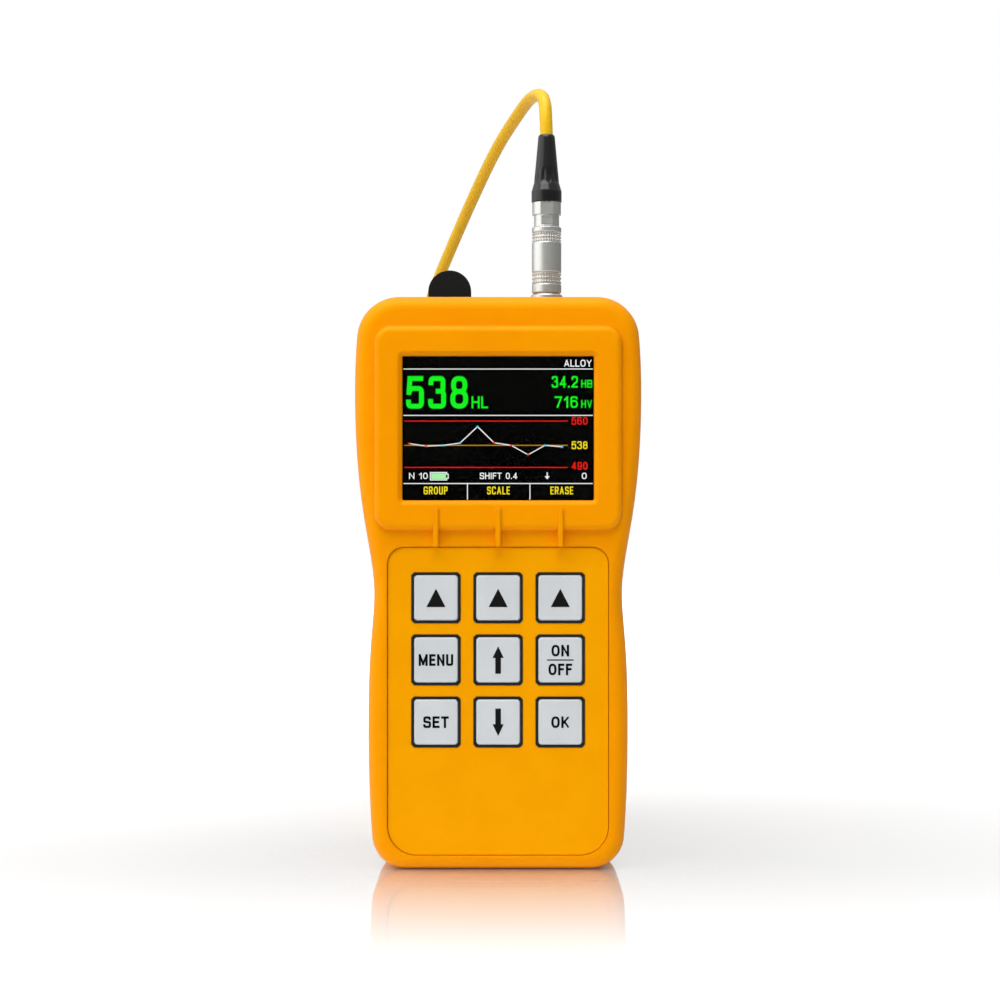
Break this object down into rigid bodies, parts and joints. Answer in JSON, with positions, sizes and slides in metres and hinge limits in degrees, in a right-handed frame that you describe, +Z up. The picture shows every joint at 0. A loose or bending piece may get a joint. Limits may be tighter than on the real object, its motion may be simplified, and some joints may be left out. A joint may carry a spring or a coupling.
{
  "type": "leeb hardness tester",
  "caption": "Hand-held rebound hardness tester in a moulded jacket, with colour screen, keypad and a probe cable plugged into its top.",
  "frame": {"origin": "middle of the rectangle round the tester, at its flat bottom, without the cable and its plugs", "axes": "+Z up along the tester, -Y out of the screen and keys, +X towards the probe socket"},
  "size_m": [0.0768, 0.1224, 0.2139],
  "materials": {
    "jacket_rubber": "matte moulded",
    "yellow_plastic": "matte moulded",
    "dark_plastic": "matte moulded",
    "black_rubber": "matte",
    "bright_steel": "bright",
    "board_green": "solder resist",
    "clear_lens": "polished",
    "display_black": "satin",
    "plated_metal": "satin plated",
    "cell_can": "satin",
    "cable_jacket": "smooth",
    "tie_strap": "woven",
    "key_plastic": "satin"
  },
  "bodies": {
    "housing": {"battery_left": "cell_can", "battery_right": "cell_can", "board_screws": "bright_steel", "boot": "jacket_rubber", "buzzer": "display_black", "cable_coil": "cable_jacket", "cable_lead": "cable_jacket", "cable_tail": "cable_jacket", "case_screws": "bright_steel", "case_seal": "black_rubber", "coil_tie": "tie_strap", "connector_panel": "yellow_plastic", "contact_bridge": "bright_steel", "contact_minus": "bright_steel", "contact_plus": "bright_steel", "far_plug_body": "plated_metal", "far_plug_boot": "black_rubber", "far_plug_insert": "display_black", "far_plug_nut": "plated_metal", "front_case": "dark_plastic", "key_domes": "bright_steel", "key_frame": "black_rubber", "keypad_board": "board_green", "keypad_panel": "yellow_plastic", "keypad_screws": "bright_steel", "lcd_bracket": "bright_steel", "lcd_module": "display_black", "main_board": "board_green", "port_socket": "bright_steel", "probe_socket": "plated_metal", "rear_case": "dark_plastic", "screen_window": "clear_lens", "socket_insert": "display_black", "socket_nut": "plated_metal"},
    "key_down_body": {"key_down": "key_plastic"},
    "key_enter_body": {"key_enter": "key_plastic"},
    "key_menu_body": {"key_menu": "key_plastic"},
    "key_on_off_body": {"key_on_off": "key_plastic"},
    "key_set_body": {"key_set": "key_plastic"},
    "key_soft_centre_body": {"key_soft_centre": "key_plastic"},
    "key_soft_left_body": {"key_soft_left": "key_plastic"},
    "key_soft_right_body": {"key_soft_right": "key_plastic"},
    "key_up_body": {"key_up": "key_plastic"},
    "port_cover_body": {"port_cover": "black_rubber"},
    "plug": {"plug_body": "plated_metal", "plug_insert": "display_black", "plug_nut": "plated_metal", "plug_boot": "black_rubber", "cable_rise": "cable_jacket"},
    "sleeve": {"plug_sleeve": "plated_metal"},
    "far_sleeve": {"far_plug_sleeve": "plated_metal"},
    "door": {"battery_door": "yellow_plastic"}
  },
  "joints": [
    {"name": "key_down_press", "type": "slide", "parent": "housing", "child": "key_down_body", "axis": [0, 1, 0], "range_m": [0, 0.0006], "stiffness_N_per_m": 1000, "springref_m": -0.0006},
    {"name": "key_enter_press", "type": "slide", "parent": "housing", "child": "key_enter_body", "axis": [0, 1, 0], "range_m": [0, 0.0006], "stiffness_N_per_m": 1000, "springref_m": -0.0006},
    {"name": "key_menu_press", "type": "slide", "parent": "housing", "child": "key_menu_body", "axis": [0, 1, 0], "range_m": [0, 0.0006], "stiffness_N_per_m": 1000, "springref_m": -0.0006},
    {"name": "key_on_off_press", "type": "slide", "parent": "housing", "child": "key_on_off_body", "axis": [0, 1, 0], "range_m": [0, 0.0006], "stiffness_N_per_m": 1000, "springref_m": -0.0006},
    {"name": "key_set_press", "type": "slide", "parent": "housing", "child": "key_set_body", "axis": [0, 1, 0], "range_m": [0, 0.0006], "stiffness_N_per_m": 1000, "springref_m": -0.0006},
    {"name": "key_soft_centre_press", "type": "slide", "parent": "housing", "child": "key_soft_centre_body", "axis": [0, 1, 0], "range_m": [0, 0.0006], "stiffness_N_per_m": 1000, "springref_m": -0.0006},
    {"name": "key_soft_left_press", "type": "slide", "parent": "housing", "child": "key_soft_left_body", "axis": [0, 1, 0], "range_m": [0, 0.0006], "stiffness_N_per_m": 1000, "springref_m": -0.0006},
    {"name": "key_soft_right_press", "type": "slide", "parent": "housing", "child": "key_soft_right_body", "axis": [0, 1, 0], "range_m": [0, 0.0006], "stiffness_N_per_m": 1000, "springref_m": -0.0006},
    {"name": "key_up_press", "type": "slide", "parent": "housing", "child": "key_up_body", "axis": [0, 1, 0], "range_m": [0, 0.0006], "stiffness_N_per_m": 1000, "springref_m": -0.0006},
    {"name": "port_cover_pull", "type": "slide", "parent": "housing", "child": "port_cover_body", "axis": [0, 0, 1], "range_m": [0, 0.012]},
    {"name": "plug_pull", "type": "slide", "parent": "housing", "child": "plug", "axis": [0, 0, 1], "range_m": [0, 0.013]},
    {"name": "plug_sleeve_pull", "type": "slide", "parent": "plug", "child": "sleeve", "axis": [0, 0, 1], "range_m": [0, 0.002], "stiffness_N_per_m": 500, "springref_m": -0.002},
    {"name": "far_sleeve_pull", "type": "slide", "parent": "housing", "child": "far_sleeve", "axis": [0, -1, 0], "range_m": [0, 0.002], "stiffness_N_per_m": 500, "springref_m": -0.002},
    {"name": "battery_door_swing", "type": "hinge", "parent": "housing", "child": "door", "pos_m": [0, 0.0169, 0.0742], "axis": [1, 0, 0], "range_deg": [0, 100]}
  ]
}
